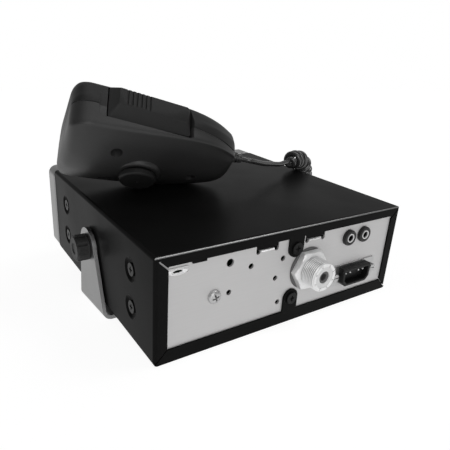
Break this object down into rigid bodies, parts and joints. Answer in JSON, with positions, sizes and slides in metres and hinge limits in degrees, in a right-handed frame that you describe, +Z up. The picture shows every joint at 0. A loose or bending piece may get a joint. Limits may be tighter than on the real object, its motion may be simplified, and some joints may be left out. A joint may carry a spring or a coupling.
{
  "type": "mobile two-way radio",
  "caption": "Mobile two-way radio in a tilting bracket, with rear sockets, front knobs and buttons, and a hand microphone on a curly cord lying on top.",
  "frame": {"origin": "Middle of the underside of the bracket base, on the table.", "axes": "+X to the right seen from behind the radio, +Y from the rear panel to the front panel, +Z up."},
  "size_m": [0.1991, 0.2496, 0.1209],
  "materials": {
    "cover_paint": "satin black paint",
    "black_screw": "black oxide",
    "bracket_alloy": "satin",
    "washer_fibre": "matt",
    "knob_black": "matt",
    "stud_steel": "zinc plated",
    "chassis_steel": "zinc plated",
    "nickel": "bright nickel",
    "insulator": "matt",
    "contact_brass": "plain",
    "face_black": "fine grain",
    "lens": "clear dark",
    "component": "plain",
    "board_green": "solder mask",
    "button_grey": "matt",
    "speaker_metal": "black",
    "speaker_paper": "paper",
    "mic_dark": "fine grain",
    "mic_grey": "fine grain",
    "cord_rubber": "smooth"
  },
  "bodies": {
    "bracket": {"bracket": "bracket_alloy", "bracket_washers": "washer_fibre", "mic_curls": "cord_rubber"},
    "radio": {"upper_cover": "cover_paint", "lower_cover": "cover_paint", "cover_screws": "black_screw", "front_bezel": "bracket_alloy", "jack_nuts": "knob_black", "rear_panel_screw": "stud_steel", "power_plate": "stud_steel", "power_screws": "stud_steel", "chassis": "chassis_steel", "rear_panel": "chassis_steel", "tuning_cans": "chassis_steel", "antenna_socket": "nickel", "antenna_nut": "nickel", "antenna_washer": "nickel", "mic_socket": "nickel", "mic_plug": "nickel", "antenna_insulator": "insulator", "power_socket": "insulator", "jack_sockets": "insulator", "antenna_contact": "contact_brass", "power_pins": "contact_brass", "faceplate": "face_black", "display_lens": "lens", "display_module": "component", "channel_encoder": "component", "volume_pot": "component", "squelch_pot": "component", "button_switches": "component", "capacitors": "component", "front_board": "board_green", "main_board": "board_green", "speaker_frame": "speaker_metal", "speaker_magnet": "speaker_metal", "speaker_cone": "speaker_paper", "mic_lead": "cord_rubber", "plug_lead": "cord_rubber"},
    "left_knob": {"left_knob": "knob_black", "left_knob_stud": "stud_steel"},
    "right_knob": {"right_knob": "knob_black", "right_knob_stud": "stud_steel"},
    "channel_knob": {"channel_knob": "knob_black"},
    "volume_knob": {"volume_knob": "knob_black"},
    "squelch_knob": {"squelch_knob": "knob_black"},
    "scan_button": {"scan_button": "button_grey"},
    "band_button": {"band_button": "button_grey"},
    "up_button": {"up_button": "button_grey"},
    "down_button": {"down_button": "button_grey"},
    "hand_mic": {"mic_front_shell": "mic_dark", "mic_back_shell": "mic_grey", "mic_ptt_switch": "component", "mic_hang_button": "mic_dark", "mic_shell_screws": "stud_steel", "mic_element": "component", "mic_board": "board_green", "mic_strain_relief": "cord_rubber"},
    "talk_bar": {"mic_ptt_bar": "mic_dark"},
    "plug_ring": {"mic_plug_ring": "nickel"}
  },
  "joints": [
    {"name": "radio_tilt", "type": "hinge", "parent": "bracket", "child": "radio", "pos_m": [0, 0, 0.0363], "axis": [1, 0, 0], "range_deg": [-11, 0.2], "deforming": ["mic_curls", "plug_lead"]},
    {"name": "left_knob_turn", "type": "hinge", "parent": "bracket", "child": "left_knob", "pos_m": [-0.0808, 0, 0.0363], "axis": [1, 0, 0], "continuous": true},
    {"name": "right_knob_turn", "type": "hinge", "parent": "bracket", "child": "right_knob", "pos_m": [0.0808, 0, 0.0363], "axis": [1, 0, 0], "continuous": true},
    {"name": "channel_turn", "type": "hinge", "parent": "radio", "child": "channel_knob", "pos_m": [-0.052, 0.07838, 0.04253], "axis": [0, 0.9945, 0.1045], "continuous": true},
    {"name": "volume_turn", "type": "hinge", "parent": "radio", "child": "volume_knob", "pos_m": [0.036, 0.07733, 0.05247], "axis": [0, 0.9945, 0.1045], "range_deg": [-150, 150]},
    {"name": "squelch_turn", "type": "hinge", "parent": "radio", "child": "squelch_knob", "pos_m": [0.036, 0.07953, 0.03159], "axis": [0, 0.9945, 0.1045], "range_deg": [-150, 150]},
    {"name": "scan_press", "type": "slide", "parent": "radio", "child": "scan_button", "axis": [0, -0.9945, -0.1045], "range_m": [0, 0.0008], "stiffness_N_per_m": 400, "springref_m": -0.0005},
    {"name": "band_press", "type": "slide", "parent": "radio", "child": "band_button", "axis": [0, -0.9945, -0.1045], "range_m": [0, 0.0008], "stiffness_N_per_m": 400, "springref_m": -0.0005},
    {"name": "up_press", "type": "slide", "parent": "radio", "child": "up_button", "axis": [0, -0.9945, -0.1045], "range_m": [0, 0.0008], "stiffness_N_per_m": 400, "springref_m": -0.0005},
    {"name": "down_press", "type": "slide", "parent": "radio", "child": "down_button", "axis": [0, -0.9945, -0.1045], "range_m": [0, 0.0008], "stiffness_N_per_m": 400, "springref_m": -0.0005},
    {"name": "mic_lift", "type": "slide", "parent": "radio", "child": "hand_mic", "axis": [0, 0, 1], "range_m": [0, 0.05], "deforming": ["mic_lead"]},
    {"name": "talk_press", "type": "hinge", "parent": "hand_mic", "child": "talk_bar", "pos_m": [-0.02994, -0.02065, 0.09939], "axis": [-0.3176, -0.5091, -0.7999], "range_deg": [0, 4], "stiffness_Nm_per_rad": 1.5, "springref_deg": -3.44},
    {"name": "plug_ring_turn", "type": "hinge", "parent": "radio", "child": "plug_ring", "pos_m": [0.06, 0.08835, 0.03754], "axis": [0, 0.9945, 0.1045], "continuous": true}
  ]
}
